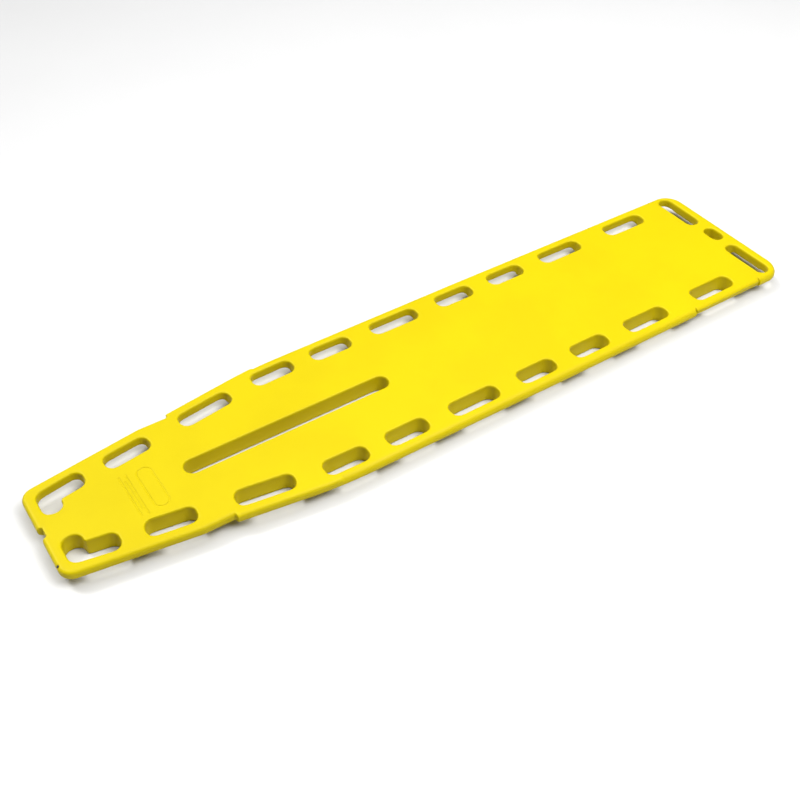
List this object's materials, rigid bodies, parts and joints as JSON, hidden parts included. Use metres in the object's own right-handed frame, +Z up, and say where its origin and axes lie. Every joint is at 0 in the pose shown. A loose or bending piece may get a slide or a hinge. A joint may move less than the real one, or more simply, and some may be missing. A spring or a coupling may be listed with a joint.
{
  "type": "long spine board",
  "caption": "Long rigid spine board: hollow moulded shell with side handholds, thin grip rim, tapered foot end, centre slot, foam core and stiffener rods.",
  "frame": {"origin": "centre of the underside, on the plane that the board rests on", "axes": "+X along the length to the wide head end, +Y across the board to the patient's left, +Z up out of the patient surface"},
  "size_m": [1.839, 0.406, 0.0445],
  "materials": {
    "shell_plastic": "satin moulded polyethylene, safety yellow",
    "core_foam": "rigid closed-cell polyurethane foam, pale tan",
    "glass_fibre_rod": "pultruded glass-fibre rod, off-white",
    "plug_plastic": "push-in plug, near-black rubbery plastic, matt"
  },
  "bodies": {
    "root": {"board_shell": "shell_plastic", "foam_core": "core_foam", "stiffener_rod_left": "glass_fibre_rod", "stiffener_rod_right": "glass_fibre_rod", "fill_plugs": "plug_plastic", "vent_plug": "plug_plastic"}
  },
  "joints": []
}
